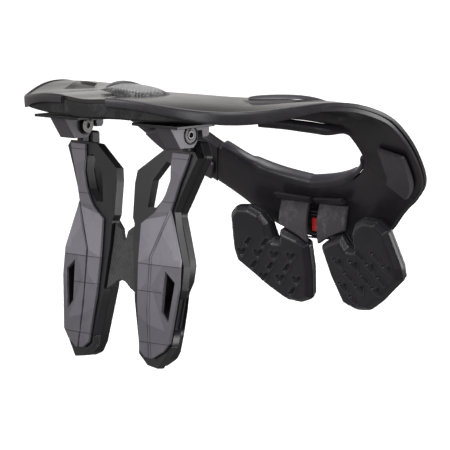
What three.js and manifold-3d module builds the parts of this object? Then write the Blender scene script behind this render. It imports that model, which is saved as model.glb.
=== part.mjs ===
// Motocross neck brace: a ring worn on the shoulders, with two hinged back legs and two chest pads.
// Millimetres. X is the wearer's right, Y the wearer's front, Z up. The origin is the middle of the
// neck opening at shoulder level, where the wearer's neck holds the brace.
import * as THREE from "three";
import { mergeVertices } from "three/addons/utils/BufferGeometryUtils.js";
import Module from "manifold-3d";

const wasm = await Module();
wasm.setup();

// Driving sizes of the ring
const ringHalfWidth = 141;
const ringRear = 153.6;
const ringFront = 110;
const neckHalfWidth = 84.5;
const neckRear = 70;
const neckFront = 82;
const tableHeight = 22;
const frontDrop = 119;

// Thicknesses and clearances
const gap = 0.3;
const shellWall = 2.6;
const bandWall = 2.4;
const bandProud = 0.8;
const foamDepth = 12.4;
const skirtDepth = 22;
const frameWall = 4;
const chestFrameWall = 3.5;
const seam = 0.3;
const crownRise = 1.6;
const crownShare = 0.42;
const ridgeWidth = 12;
const rearPadEnd = 1.5;
const rearPadRise = 8.5;
const rearPadLength = 30;

// Stations round the right half, from the rear centre to the front centre.
// ox, oy, oz: outer top edge. nx, ny, nz: neck edge. x is a share of the half widths, y of the
// rear or front lengths, z of the front drop below the table. rim: height of the edge band, mm.
// core: share of the foam depth. skirt: share of the skirt depth at the neck.
const stationColumns = ["ox", "oy", "oz", "nx", "ny", "nz", "rim", "core", "skirt"];
const stations = [
  [0.000, -1.000, 0.000, 0.000, -1.000, 0.000, 5.0, 1.00, 0.50],
  [0.142, -0.986, -0.012, 0.154, -0.993, 0.000, 5.0, 1.00, 0.50],
  [0.319, -0.950, -0.005, 0.343, -0.971, 0.000, 5.2, 1.00, 0.55],
  [0.496, -0.885, 0.022, 0.521, -0.914, 0.004, 6.0, 0.74, 0.65],
  [0.638, -0.794, 0.043, 0.663, -0.829, 0.008, 8.0, 0.60, 0.80],
  [0.752, -0.677, 0.045, 0.781, -0.700, 0.012, 8.5, 0.55, 0.90],
  [0.851, -0.540, 0.027, 0.876, -0.543, 0.017, 8.0, 0.50, 0.95],
  [0.929, -0.391, 0.008, 0.947, -0.371, 0.027, 5.2, 0.50, 1.00],
  [0.979, -0.228, 0.015, 0.982, -0.186, 0.046, 4.2, 0.50, 1.00],
  [1.000, -0.065, 0.070, 1.000, 0.012, 0.084, 4.0, 0.50, 0.93],
  [0.993, 0.109, 0.160, 1.000, 0.171, 0.136, 4.0, 0.50, 0.82],
  [0.957, 0.309, 0.298, 0.982, 0.341, 0.210, 4.0, 0.50, 0.62],
  [0.894, 0.500, 0.454, 0.947, 0.500, 0.290, 4.2, 0.50, 0.45],
  [0.770, 0.695, 0.600, 0.888, 0.646, 0.370, 4.8, 0.50, 0.42],
  [0.540, 0.820, 0.775, 0.757, 0.793, 0.462, 5.4, 0.50, 0.42],
  [0.362, 0.918, 0.940, 0.533, 0.915, 0.555, 6.0, 0.50, 0.42],
  [0.000, 1.000, 1.000, 0.000, 1.000, 0.622, 6.0, 0.50, 0.42],
];
const lastStation = stations.length - 1;

// Stations where one piece ends and the next begins
const wingEnd = 9.6;
const bandStart = 1.05;
const coreEnd = 3.9;
const shoulderStart = 4.0;
const chestStart = 13.4;
const linerStart = 11.2;
const linerEnd = 13.3;
const rollStart = 5.0;
const rollEnd = 12.6;
const collarStart = 13.55;
const ridgeStart = 4.6;
const ridgeEnd = 8.8;

// Back legs: the hinge lies along X through both brackets
const hinge = { x: 51, y: -107, z: -1.2 };
const legWidth = 60;
const legLength = 160;
const legYaw = 0.066;
const legTilt = 0.1;
const coverDepth = 2.2;
const legFrameDepth = 6.6;
const legPadDepth = 9;
const bootAt = 0.892;
const boltRadius = 3;
const boltHeadRadius = 5.25;
const boltHeadHeight = 2.8;
const socketRadius = 1.9;
const boreWall = 1.6;
const tongueWidth = 5.6;
const cheekWidth = 4.1;
const bracketBelow = 8.6;
const bracketAbove = 5.6;
const bracketBehind = 19.6;
const earFront = 17.5;
const earDrop = 1.8;
const flangeThick = 1.9;
const flangeWidth = 43;
const flangeLength = 36;
const screwRadius = 2.6;
const screwHead = 1.5;
const webThick = 3.6;

// Chest pads: the inner top corner, the size of the outline and its lean
const padCorner = { x: 5, y: 75.5, z: -98 };
const padWidth = 77;
const padHeight = 77;
const padThick = 7.5;
const padBevel = 2;
const padLean = 0.333;
const padYaw = 0.028;
const plateThick = 2.4;
const plateInset = 1.6;

// Straps, their brackets under the neck rim, and the latch between them
const strapWidth = 26.5;
const strapThick = 3;
const strapLength = 24;
const strapLean = 0.08;
const strapBracketStart = 15.3;
const strapBracketEnd = 15.96;
const strapBracketDrop = 11.3;
const strapBracketTop = 2;
const strapBracketDepth = 5.3;
const latchTop = 20;
const latchLength = 24;
const latchWidth = 19;
const leverWidth = 8.8;
const leverHeight = 8;
const leverThick = 3.6;
const leverPinRadius = 0.9;
const leverAxis = { y: 82.6, z: -80 };

const colours = {
  gloss: [0x5c5856, 0.28, 0.1],
  band: [0x2b2b2e, 0.5, 0],
  foam: [0x26262a, 0.9, 0],
  frame: [0x232327, 0.55, 0],
  cover: [0x5a5960, 0.5, 0.1],
  pad: [0x1f1f22, 0.85, 0],
  strap: [0x3a3a3d, 0.8, 0],
  steel: [0xa8a8a8, 0.25, 0.9],
  black: [0x18181b, 0.3, 0],
  web: [0x2d2c2e, 0.85, 0],
  textile: [0x6a6a6c, 0.8, 0],
  lever: [0xb02525, 0.4, 0],
};

const root = new THREE.Group();

function material(kind) {
  const [color, roughness, metalness] = colours[kind];
  return new THREE.MeshStandardMaterial({ color, roughness, metalness });
}

function addMesh(name, geometry, kind, parent = root) {
  const mesh = new THREE.Mesh(geometry, material(kind));
  mesh.name = name;
  parent.add(mesh);
  return mesh;
}

// Turn a list of points and triangles into a closed body whose faces point outward
function closedBody(points, triangles) {
  let volume = 0;
  for (const [a, b, c] of triangles) {
    volume += points[a].dot(new THREE.Vector3().crossVectors(points[b], points[c]));
  }
  const flat = [];
  for (const [a, b, c] of triangles) {
    const order = volume > 0 ? [a, b, c] : [a, c, b];
    for (const k of order) flat.push(points[k].x, points[k].y, points[k].z);
  }
  const geometry = new THREE.BufferGeometry();
  geometry.setAttribute("position", new THREE.Float32BufferAttribute(flat, 3));
  geometry.computeVertexNormals();
  return geometry;
}

// Skin a row of sections, each a loop of points in space with its flat outline for the end caps.
// Each face between two sections is split along the line that leads away from the outer edge and
// from the rear centre, so two faces that lie on each other are split alike.
function skin(sections, outline, places = []) {
  const count = sections[0].length;
  const points = sections.flat();
  const triangles = [];
  for (let i = 0; i + 1 < sections.length; i++) {
    const onLeft = (places[i] ?? 0) + (places[i + 1] ?? 0) < 0;
    for (let j = 0; j < count; j++) {
      const k = (j + 1) % count;
      const a = i * count + j;
      const b = i * count + k;
      const inward = outline[k].x - outline[j].x || outline[k].y - outline[j].y;
      if (inward > 0 !== onLeft) triangles.push([a, b, b + count], [a, b + count, a + count]);
      else triangles.push([a, b, a + count], [b, b + count, a + count]);
    }
  }
  const last = (sections.length - 1) * count;
  for (const [a, b, c] of THREE.ShapeUtils.triangulateShape(outline, [])) {
    triangles.push([c, b, a], [last + a, last + b, last + c]);
  }
  return closedBody(points, triangles);
}

function mirrored(geometry) {
  const copy = geometry.clone();
  copy.scale(-1, 1, 1);
  const p = copy.getAttribute("position");
  if (copy.index) {
    const index = copy.index;
    for (let i = 0; i < index.count; i += 3) {
      const held = index.getX(i + 1);
      index.setX(i + 1, index.getX(i + 2));
      index.setX(i + 2, held);
    }
  } else {
    for (let i = 0; i < p.count; i += 3) {
      for (const get of ["X", "Y", "Z"]) {
        const held = p[`get${get}`](i + 1);
        p[`set${get}`](i + 1, p[`get${get}`](i + 2));
        p[`set${get}`](i + 2, held);
      }
    }
  }
  copy.computeVertexNormals();
  return copy;
}

function addPair(name, geometry, kind) {
  addMesh(`${name}_right`, geometry, kind);
  addMesh(`${name}_left`, mirrored(geometry), kind);
}

// A row of the table at any station, eased through its neighbours. Past the centre lines the table
// is mirrored, so the ring runs smoothly across them.
function columnAt(row, column) {
  const side = row < 0 ? -row : row > lastStation ? 2 * lastStation - row : row;
  const value = stations[side][stationColumns.indexOf(column)];
  const flips = side !== row && (column === "ox" || column === "nx");
  return flips ? -value : value;
}

function column(name, v) {
  const i = Math.min(Math.floor(v), lastStation - 1);
  const f = v - i;
  const [a, b, c, d] = [i - 1, i, i + 1, i + 2].map((row) => columnAt(row, name));
  const slopeB = (c - a) / 2;
  const slopeC = (d - b) / 2;
  const h = f * f * (3 - 2 * f);
  return b + (c - b) * h + slopeB * (f - 2 * f * f + f * f * f) + slopeC * (f * f * f - f * f);
}

function along(share, rear, front) {
  return share < 0 ? share * rear : share * front;
}

// The frame of the ring at a station: outer edge, neck edge, the way across and the way up
function station(v) {
  const side = Math.abs(v);
  const edge = (at) => [
    new THREE.Vector3(
      column("ox", at) * ringHalfWidth,
      along(column("oy", at), ringRear, ringFront),
      tableHeight - column("oz", at) * frontDrop,
    ),
    new THREE.Vector3(
      column("nx", at) * neckHalfWidth,
      along(column("ny", at), neckRear, neckFront),
      tableHeight - column("nz", at) * frontDrop,
    ),
  ];
  const [outer, neck] = edge(side);
  const step = 0.05;
  const before = edge(Math.max(side - step, 0));
  const after = edge(Math.min(side + step, lastStation));
  const middle = ([o, n]) => new THREE.Vector3().addVectors(o, n);
  const tangent = middle(after).sub(middle(before)).normalize();
  if (side < step) tangent.set(1, 0, 0);
  if (side > lastStation - step) tangent.set(-1, 0, 0);
  const across = new THREE.Vector3().subVectors(neck, outer);
  const width = across.length();
  across.normalize();
  const up = new THREE.Vector3().crossVectors(tangent, across).normalize();
  if (v < 0) {
    for (const w of [outer, neck, across, up]) w.x = -w.x;
  }
  return { outer, neck, across, up, width, side };
}

// A point of the ring: distance in from the outer edge and depth below the top surface
function ringPoint(s, inward, depth) {
  return s.outer.clone().addScaledVector(s.across, inward).addScaledVector(s.up, -depth);
}

// Sections stand at every half station. Between two of them a section lies on the straight faces
// that join them, so pieces that share a surface share it everywhere.
const stationStep = 0.5;

function sectionAt(v, profile) {
  const low = Math.floor(v / stationStep) * stationStep;
  const share = (v - low) / stationStep;
  const loop = (at) => {
    const s = station(Math.max(-lastStation, Math.min(lastStation, at)));
    return profile(s, at).map(([inward, depth]) => ringPoint(s, inward, depth));
  };
  const first = loop(low);
  if (share < 1e-6) return first;
  const second = loop(low + stationStep);
  return first.map((point, i) => point.lerp(second[i], share));
}

// Sweep a profile round the ring. profile(s) gives [distance in, depth] pairs at each station.
function sweep(from, to, profile) {
  const places = [from];
  const first = Math.floor(from / stationStep + 1e-6) + 1;
  for (let k = first; k * stationStep < to - 1e-6; k++) places.push(k * stationStep);
  places.push(to);
  const outline = profile(station(from), from).map(([a, b]) => new THREE.Vector2(a, b));
  return skin(places.map((v) => sectionAt(v, profile)), outline, places);
}

// Stop short of the front centre by half the seam
const neckAtLastStep = column("nx", lastStation - stationStep) * neckHalfWidth;
const frontEnd = lastStation - (stationStep * seam) / 2 / neckAtLastStep;

const rimOf = (s) => column("rim", s.side);
const skirtOf = (s) => column("skirt", s.side) * skirtDepth;

// The low crown line of the shell, and what lies under it at a depth
function crownPoint(s, depth) {
  const rise = crownRise * Math.sin((Math.PI * s.side) / lastStation);
  return [bandWall + gap + (s.width - bandWall - gap) * crownShare, depth - rise];
}

function shellProfile(s) {
  const start = bandWall + gap;
  return [
    [start, 0],
    crownPoint(s, 0),
    [s.width, 0],
    [s.width, shellWall],
    crownPoint(s, shellWall),
    [start, shellWall],
  ];
}

function bandProfile(s) {
  const rim = rimOf(s);
  return [
    [0, 0],
    [bandWall * 0.5, -bandProud],
    [bandWall, -bandProud * 0.5],
    [bandWall, rim],
    [0.2, rim],
  ];
}

function coreProfile(s) {
  const depth = column("core", s.side) * foamDepth + shellWall;
  const start = bandWall + gap;
  const inner = s.width - 1.5;
  const top = shellWall + gap;
  return [
    [start, top],
    crownPoint(s, top),
    [inner, top],
    [inner, depth],
    [start + 6, depth],
    [start, depth - 3],
  ];
}

// Under each wing: a plate under the shell and a deep skirt at the neck, with the roll below it
const rollRadius = 4.2;
function shoulderProfile(s) {
  const start = bandWall + gap;
  const top = shellWall + gap;
  const skirt = Math.max(skirtOf(s) - 2 * rollRadius - gap, top + frameWall + 0.6);
  const wall = Math.min(9, s.width * 0.25);
  const plate = top + frameWall;
  return [
    [start, top],
    crownPoint(s, top),
    [s.width, top],
    [s.width, skirt],
    [s.width - wall, skirt],
    [s.width - wall - 6, plate],
    [start, plate - 1.6],
  ];
}

function rollProfile(s) {
  const skirt = Math.max(skirtOf(s) - 2 * rollRadius - gap, shellWall + gap + frameWall + 0.6);
  const points = [];
  const sides = 10;
  for (let i = 0; i < sides; i++) {
    const turn = (2 * Math.PI * (i + 0.5)) / sides;
    points.push([
      s.width - rollRadius + rollRadius * Math.cos(turn),
      skirt + gap + rollRadius * Math.cos(Math.PI / sides) + rollRadius * Math.sin(turn),
    ]);
  }
  return points;
}

function chestProfile(s) {
  const start = bandWall + gap;
  const top = shellWall + gap;
  const bottom = top + chestFrameWall;
  return [
    [start, top],
    crownPoint(s, top),
    [s.width, top],
    [s.width, bottom],
    [start + 4, bottom],
    [start, bottom - 2],
  ];
}

function linerProfile(s, v) {
  const top = shellWall + 2 * gap + frameWall;
  const ease = Math.sin((Math.PI * (v - linerStart)) / (linerEnd - linerStart));
  const thick = 2.4 + 2 * Math.sqrt(Math.max(ease, 0));
  const start = s.width * 0.14;
  const end = s.width * 0.56;
  return [
    [start, top],
    [end, top],
    [end - 1.5, top + thick],
    [start + 1.5, top + thick],
  ];
}

function collarProfile(s) {
  return [
    [s.width + gap, -2],
    [s.width + 3.5, -3.2],
    [s.width + 6.5, -1],
    [s.width + 7, 4],
    [s.width + 5, 8.4],
    [s.width + gap, 9],
  ];
}

function ridgeProfile(s, v) {
  const ease = Math.sin((Math.PI * (v - ridgeStart)) / (ridgeEnd - ridgeStart));
  const rise = 1.4 + 2.4 * Math.sqrt(Math.max(ease, 0));
  const [crownAt, crownDepth] = crownPoint(s, 0);
  const outer = s.width - ridgeWidth;
  const base = (crownDepth * (s.width - outer)) / (s.width - crownAt) - gap;
  return [
    [outer, base],
    [outer + ridgeWidth * 0.25, base - rise * 0.6],
    [outer + ridgeWidth * 0.65, -rise],
    [s.width - 0.5, -rise * 0.6],
    [s.width, -gap],
  ];
}

function buildRing() {
  addMesh("table_top", sweep(-wingEnd, wingEnd, shellProfile), "gloss");
  addPair("front_shell", sweep(wingEnd + 0.02, frontEnd, shellProfile), "gloss");
  addPair("rim_band", sweep(bandStart, frontEnd, bandProfile), "band");
  addMesh("foam_core", sweep(-coreEnd, coreEnd, coreProfile), "foam");
  addPair("shoulder_frame", sweep(shoulderStart, chestStart - 0.02, shoulderProfile), "frame");
  addPair("neck_roll", sweep(rollStart, rollEnd, rollProfile), "frame");
  addPair("chest_frame", sweep(chestStart, frontEnd, chestProfile), "frame");
  addPair("shoulder_liner", sweep(linerStart, linerEnd, linerProfile), "pad");
  addPair("collar_foam", sweep(collarStart, frontEnd, collarProfile), "foam");
  addPair("side_collar", sweep(ridgeStart, ridgeEnd, ridgeProfile), "foam");
}

// The raised pad on the rear table, a low lens across the centre
function rearPadProfile(s, v) {
  const ease = Math.sqrt(Math.max(Math.cos((Math.PI * v) / (2 * rearPadEnd)), 0));
  const rise = 1 + (rearPadRise - 1) * ease;
  const [crownAt, crownDepth] = crownPoint(s, 0);
  const inner = crownAt + rearPadLength;
  const innerBase = (crownDepth * (s.width - inner)) / (s.width - crownAt) - gap;
  return [
    [crownAt, crownDepth - gap],
    [crownAt + rearPadLength * 0.12, crownDepth - gap - rise * 0.7],
    [crownAt + rearPadLength * 0.45, crownDepth - gap - rise],
    [crownAt + rearPadLength * 0.9, innerBase - rise * 0.75],
    [inner, innerBase],
  ];
}

// Straight plates are drawn across and up, then stood upright with their thickness toward +Y
function plate(outline, depth, holes = [], bevel = 0) {
  const loop = outline.map(([x, z]) => new THREE.Vector2(x, z));
  if (THREE.ShapeUtils.isClockWise(loop)) loop.reverse();
  const shape = new THREE.Shape(loop);
  for (const hole of holes) {
    shape.holes.push(new THREE.Path(hole.map(([x, z]) => new THREE.Vector2(x, z))));
  }
  const geometry = new THREE.ExtrudeGeometry(shape, {
    depth: depth - 2 * bevel,
    bevelEnabled: bevel > 0,
    bevelThickness: bevel,
    bevelSize: bevel,
    bevelOffset: -bevel,
    bevelSegments: 2,
  });
  geometry.rotateX(Math.PI / 2);
  geometry.translate(0, depth - bevel, 0);
  return geometry;
}

// Booleans
function solidOf(geometry) {
  const bare = geometry.clone();
  bare.deleteAttribute("normal");
  bare.deleteAttribute("uv");
  const merged = mergeVertices(bare, 1e-4);
  return new wasm.Manifold(
    new wasm.Mesh({
      numProp: 3,
      vertProperties: new Float32Array(merged.getAttribute("position").array),
      triVerts: new Uint32Array(merged.index.array),
    }),
  );
}

function geometryOf(solid) {
  const mesh = solid.getMesh();
  const flat = [];
  for (const i of mesh.triVerts) {
    for (let k = 0; k < 3; k++) flat.push(mesh.vertProperties[i * mesh.numProp + k]);
  }
  const geometry = new THREE.BufferGeometry();
  geometry.setAttribute("position", new THREE.Float32BufferAttribute(flat, 3));
  geometry.computeVertexNormals();
  return geometry;
}

function box(x, y, z) {
  const geometry = new THREE.BoxGeometry(x[1] - x[0], y[1] - y[0], z[1] - z[0]);
  geometry.translate((x[0] + x[1]) / 2, (y[0] + y[1]) / 2, (z[0] + z[1]) / 2);
  return geometry;
}

// A cylinder along X between two places, about the line at y, z
function rod(radius, x, y = 0, z = 0, sides = 20) {
  const geometry = new THREE.CylinderGeometry(radius, radius, x[1] - x[0], sides);
  geometry.rotateZ(Math.PI / 2);
  geometry.translate((x[0] + x[1]) / 2, y, z);
  return geometry;
}

function join(parts, cuts = []) {
  const whole = wasm.Manifold.union(parts.map(solidOf));
  if (!cuts.length) return geometryOf(whole);
  return geometryOf(whole.subtract(wasm.Manifold.union(cuts.map(solidOf))));
}

// Leg outlines from the hinge: x as a share of the leg's width, z as a share of its length down
const frameOuter = [
  [0.150, 0.070], [0.200, 0.095], [0.100, 0.170], [-0.010, 0.260], [-0.080, 0.330],
  [-0.040, 0.395], [0.075, 0.520], [0.110, 0.555], [0.105, 0.650],
];
const frameInner = [
  [-0.590, 0.715], [-0.660, 0.495], [-0.675, 0.395], [-0.765, 0.370],
  [-0.775, 0.225], [-0.700, 0.170], [-0.315, 0.075], [-0.150, 0.070],
];
const frameWindow = [
  [-0.250, 0.120], [-0.160, 0.130], [-0.165, 0.195], [-0.240, 0.270],
  [-0.365, 0.320], [-0.485, 0.320], [-0.440, 0.205],
];
const coverOutline = [
  [-0.145, 0.080], [0.110, 0.080], [0.080, 0.120], [-0.005, 0.200], [-0.060, 0.265],
  [-0.115, 0.325], [-0.060, 0.380], [0.085, 0.530], [0.090, 0.650], [0.010, 0.880],
  [-0.080, 0.920], [-0.235, 0.955], [-0.350, 0.950], [-0.440, 0.925], [-0.520, 0.715],
  [-0.545, 0.550], [-0.540, 0.390], [-0.355, 0.340], [-0.300, 0.315], [-0.210, 0.260],
  [-0.150, 0.195], [-0.160, 0.130],
];
const legSlot = [[-0.120, 0.580], [0.025, 0.625], [-0.035, 0.795], [-0.135, 0.755]];
const legPadOutline = [
  [-0.050, 0.022], [0.130, 0.022], [0.220, 0.090], [0.120, 0.165], [-0.010, 0.270],
  [-0.100, 0.340], [-0.035, 0.410], [0.065, 0.520], [0.085, 0.550], [0.070, 0.620],
  [0.010, 0.670], [0.000, 0.745], [-0.030, 0.850], [-0.060, 0.920], [-0.100, 0.950],
  [-0.250, 0.990], [-0.380, 0.970], [-0.450, 0.920], [-0.580, 0.680], [-0.620, 0.430],
  [-0.450, 0.370], [-0.280, 0.305], [-0.180, 0.230], [-0.080, 0.120],
];
const bootEdge = [[-0.050, 0.930], [-0.175, 0.995], [-0.335, 0.985], [-0.475, 0.940]];
const frameBottom = { outer: 0.013, inner: -0.484 };

const legPoints = (rows) => rows.map(([x, z]) => [x * legWidth, -z * legLength]);

// A leg plate stands at a depth behind the cover's face and is turned a little outward
function legPlate(rows, from, depth, holes = [], bevel = 0) {
  const geometry = plate(rows, depth, holes.map(legPoints), bevel);
  geometry.translate(0, from, 0);
  geometry.rotateZ(legYaw);
  return geometry;
}

const frameFrom = coverDepth + gap;
const legPadFrom = frameFrom + legFrameDepth + gap;
const bore = boltRadius + gap;
const tongueRadius = bore + boreWall;
const bracketHalf = tongueWidth / 2 + gap + cheekWidth;

function legFrame() {
  const bottom = -bootAt * legLength;
  const outline = [
    ...legPoints(frameOuter),
    [frameBottom.outer * legWidth, bottom],
    [frameBottom.inner * legWidth, bottom],
    ...legPoints(frameInner),
  ];
  const half = tongueWidth / 2;
  const body = legPlate(outline, frameFrom, legFrameDepth, [frameWindow, legSlot]);
  const tongue = rod(tongueRadius, [-half, half]);
  const neck = box([-half, half], [frameFrom + 0.6, legPadFrom - gap - 0.6], [-0.1 * legLength, 0]);
  const root = box([-half, half], [-1, frameFrom + 1], [-tongueRadius + 0.8, 0]);
  return join([body, tongue, neck, root], [rod(bore, [-half - 1, half + 1])]);
}

function legBoot() {
  const top = -bootAt * legLength - gap;
  const outline = [
    [frameBottom.outer * legWidth, top],
    ...legPoints(bootEdge),
    [frameBottom.inner * legWidth, top],
  ];
  return legPlate(outline, frameFrom, legFrameDepth, [], 0);
}

function legBracket() {
  const side = [
    [-bracketBehind, bracketAbove],
    [-bracketBehind * 0.5, -bracketBelow],
    [2.5, -bracketBelow],
    [tongueRadius + 1.1, -bracketBelow * 0.55],
    [tongueRadius + 1.1, bracketAbove * 0.5],
    [legPadFrom + 1.2, bracketAbove * 0.5],
    [legPadFrom + 1.8, -earDrop],
    [earFront - 1.5, -earDrop],
    [earFront, 0],
    [earFront, bracketAbove],
  ];
  const shape = new THREE.Shape(side.map(([y, z]) => new THREE.Vector2(y, z)));
  const block = new THREE.ExtrudeGeometry(shape, { depth: 2 * bracketHalf, bevelEnabled: false });
  block.rotateX(Math.PI / 2);
  block.rotateZ(Math.PI / 2);
  block.translate(-bracketHalf, 0, 0);
  const half = tongueWidth / 2 + gap;
  const low = -bracketBelow - 1;
  const slot = box([-half, half], [-tongueRadius - 0.5, tongueRadius + 1.3], [low, bracketAbove + 1]);
  return join([block], [slot, rod(bore, [-bracketHalf - 1, bracketHalf + 1])]);
}

function hingeBolt() {
  const head = -bracketHalf - gap;
  const end = bracketHalf + 0.4;
  return join(
    [rod(boltRadius, [head - 0.5, end]), rod(boltHeadRadius, [head - boltHeadHeight, head])],
    [
      rod(socketRadius, [end - 2, end + 1], 0, 0, 6),
      rod(socketRadius, [head - boltHeadHeight - 1, head - boltHeadHeight + 1.6], 0, 0, 6),
    ],
  );
}

// The web ties the two frames' inner edges together
function legWeb() {
  const shift = (legPadFrom - gap) * Math.sin(legYaw) + gap;
  const edge = (row) => hinge.x + row[0] * legWidth - shift;
  const [low, middle, high] = frameInner;
  const share = (0.69 - middle[1]) / (low[1] - middle[1]);
  const lowEdge = edge(middle) + (edge(low) - edge(middle)) * share;
  const half = [
    [0, 0.475], [0.14, 0.462], [0.3, 0.43], [1, 0.402], [1, middle[1]], [1, 0.69],
    [0.6, 0.672], [0.25, 0.648], [0, 0.642],
  ];
  const widths = [edge(high), edge(high), edge(high), edge(high), edge(middle)];
  const across = (row, i) => row[0] * (i < widths.length ? widths[i] : lowEdge);
  const right = half.map((row, i) => [across(row, i), -row[1] * legLength]);
  const left = right.slice(1, -1).reverse().map(([x, z]) => [-x, z]);
  const geometry = plate([...right, ...left], webThick);
  geometry.translate(0, frameFrom + 0.6 * legFrameDepth - webThick - hinge.x * Math.sin(legYaw) * 0.35, 0);
  return geometry;
}

function placedAtHinge(side) {
  const group = new THREE.Group();
  group.position.set(side * hinge.x, hinge.y, hinge.z);
  root.add(group);
  return group;
}

function buildLegs() {
  const pieces = [
    ["leg_frame", legFrame(), "frame"],
    ["leg_cover", legPlate(legPoints(coverOutline), 0, coverDepth, [legSlot]), "cover"],
    ["leg_pad", legPlate(legPoints(legPadOutline), legPadFrom, legPadDepth), "foam"],
    ["leg_boot", legBoot(), "black"],
  ];
  const fixed = [
    ["leg_bracket", legBracket(), "frame"],
    ["hinge_bolt", hingeBolt(), "steel"],
  ];
  for (const [side, word] of [[1, "right"], [-1, "left"]]) {
    const mount = placedAtHinge(side);
    const leg = new THREE.Group();
    leg.rotation.x = -legTilt;
    mount.add(leg);
    for (const [name, geometry, kind] of pieces) {
      addMesh(`${name}_${word}`, side > 0 ? geometry : mirrored(geometry), kind, leg);
    }
    for (const [name, geometry, kind] of fixed) {
      addMesh(`${name}_${word}`, side > 0 ? geometry : mirrored(geometry), kind, mount);
    }
  }
  const middle = placedAtHinge(0);
  middle.rotation.x = -legTilt;
  addMesh("leg_web", legWeb(), "web", middle);
}

// Flat plates that carry the brackets under the foam core, each with two screws
function buildFlanges() {
  const low = hinge.z + bracketAbove + gap;
  const x = [hinge.x - 0.58 * flangeWidth, hinge.x + 0.42 * flangeWidth];
  const y = [hinge.y - 0.67 * flangeLength, hinge.y + 0.33 * flangeLength];
  addPair("flange_plate", box(x, y, [low, low + flangeThick]), "frame");
  const screwX = [x[0] + 2 * screwRadius, x[1] - 1.6 * screwRadius];
  for (const [i, at] of screwX.entries()) {
    const geometry = new THREE.CylinderGeometry(screwRadius, screwRadius, screwHead, 12);
    geometry.rotateX(Math.PI / 2);
    geometry.translate(at, hinge.y - 0.25 * flangeLength, low - gap - screwHead / 2);
    addPair(`flange_screw_${i + 1}`, geometry, "steel");
  }
}

// Chest pad outline: x as a share of the width from the inner side, z of the height from the corner
const chestOutline = [
  [0.012, -0.012], [0.117, 0.055], [0.325, 0.128], [0.375, 0.010], [0.440, 0.010],
  [0.460, 0.170], [0.530, 0.275], [0.660, 0.335], [0.820, 0.325], [0.925, 0.235],
  [0.995, -0.130], [0.980, -0.260], [0.820, -0.380], [0.640, -0.520], [0.470, -0.625],
  [0.290, -0.645], [0.130, -0.590], [0.050, -0.300],
];

function buildChestPads() {
  const outline = chestOutline.map(([x, z]) => [x * padWidth, z * padHeight]);
  const pad = plate(outline, padThick, [], padBevel);
  const middle = new THREE.Vector2();
  for (const [x, z] of outline) middle.add(new THREE.Vector2(x, z).divideScalar(outline.length));
  const shrink = 1 - (2 * plateInset) / padWidth;
  const inset = outline.map(([x, z]) => [
    middle.x + (x - middle.x) * shrink,
    middle.y + (z - middle.y) * shrink,
  ]);
  const backing = plate(inset, plateThick);
  backing.translate(0, padThick + gap, 0);
  for (const [name, geometry, kind] of [["chest_pad", pad, "foam"], ["chest_plate", backing, "frame"]]) {
    geometry.rotateZ(-padYaw);
    for (const [side, word] of [[1, "right"], [-1, "left"]]) {
      const group = new THREE.Group();
      group.position.set(side * padCorner.x, padCorner.y, padCorner.z);
      group.rotation.x = padLean;
      root.add(group);
      addMesh(`${name}_${word}`, side > 0 ? geometry : mirrored(geometry), kind, group);
    }
  }
}

// The straps hang from their brackets and end on the pads' top edges
function strapBracketProfile(s) {
  const depth = shellWall + 2 * gap + chestFrameWall;
  return [
    [s.width - strapBracketDrop, depth],
    [s.width - strapBracketTop, depth],
    [s.width - strapBracketTop, depth + strapBracketDepth * 0.8],
    [s.width - strapBracketDrop, depth + strapBracketDepth],
  ];
}

function buildStraps() {
  addPair("strap_bracket", sweep(strapBracketStart, strapBracketEnd, strapBracketProfile), "frame");
  const top = strapLength + 3.6;
  const left = 0.4;
  const slope = (0.128 - 0.055) / (0.325 - 0.117);
  const lift = (strapThick + 1.5) * Math.sin(padLean) + gap;
  const cut = 0.055 * padHeight + lift;
  const from = 0.117 * padWidth;
  const outline = [
    [left, -0.012 * padHeight + lift + 1],
    [from - 0.3, cut],
    [left + strapWidth, cut + (left + strapWidth - from) * slope],
    [left + strapWidth, top],
    [left, top],
  ];
  const geometry = plate(outline, strapThick);
  geometry.rotateX(-strapLean);
  geometry.translate(padCorner.x, padCorner.y, padCorner.z);
  addPair("strap", geometry, "strap");
}

function buildLatch() {
  const s = station(lastStation);
  const depth = shellWall + 3 * gap + chestFrameWall;
  const on = (down, deep) => {
    const p = ringPoint(s, s.width - down, deep);
    return [p.y, p.z];
  };
  const topBack = on(latchTop, depth);
  const lowBack = on(latchTop + latchLength, depth);
  const front = leverAxis.y + leverThick / 2 + gap;
  const side = [
    [front, topBack[1]],
    topBack,
    lowBack,
    [front + 2, lowBack[1] - 1],
    [front, lowBack[1] + 2],
  ];
  const shape = new THREE.Shape(side.map(([y, z]) => new THREE.Vector2(y, z)));
  const block = new THREE.ExtrudeGeometry(shape, { depth: latchWidth, bevelEnabled: false });
  block.rotateX(Math.PI / 2);
  block.rotateZ(Math.PI / 2);
  block.translate(-latchWidth / 2, 0, 0);
  const half = leverWidth / 2;
  const { y, z } = leverAxis;
  const cheeks = [-1, 1].map((k) => {
    const inner = half + gap;
    const x = k > 0 ? [inner, inner + 2.4] : [-inner - 2.4, -inner];
    return box(x, [y - leverThick / 2, front + 1], [z - 2.6, z + 2.6]);
  });
  const hole = leverPinRadius + gap;
  addMesh("latch_housing", join([block, ...cheeks], [rod(hole, [-half - 6, half + 6], y, z, 12)]), "frame");
  const barrel = rod(leverThick / 2, [-half, half], y, z, 14);
  const pin = rod(leverPinRadius, [-half - 2.4, half + 2.4], y, z, 10);
  const blade = box([-half, half], [y - leverThick / 2, y + leverThick / 2], [z - leverHeight, z]);
  addMesh("latch_lever", join([barrel, pin, blade]), "lever");
}

buildRing();
addMesh("rear_pad", sweep(-rearPadEnd, rearPadEnd, rearPadProfile), "textile");
buildLegs();
buildFlanges();
buildChestPads();
buildStraps();
buildLatch();

export default root;
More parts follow.
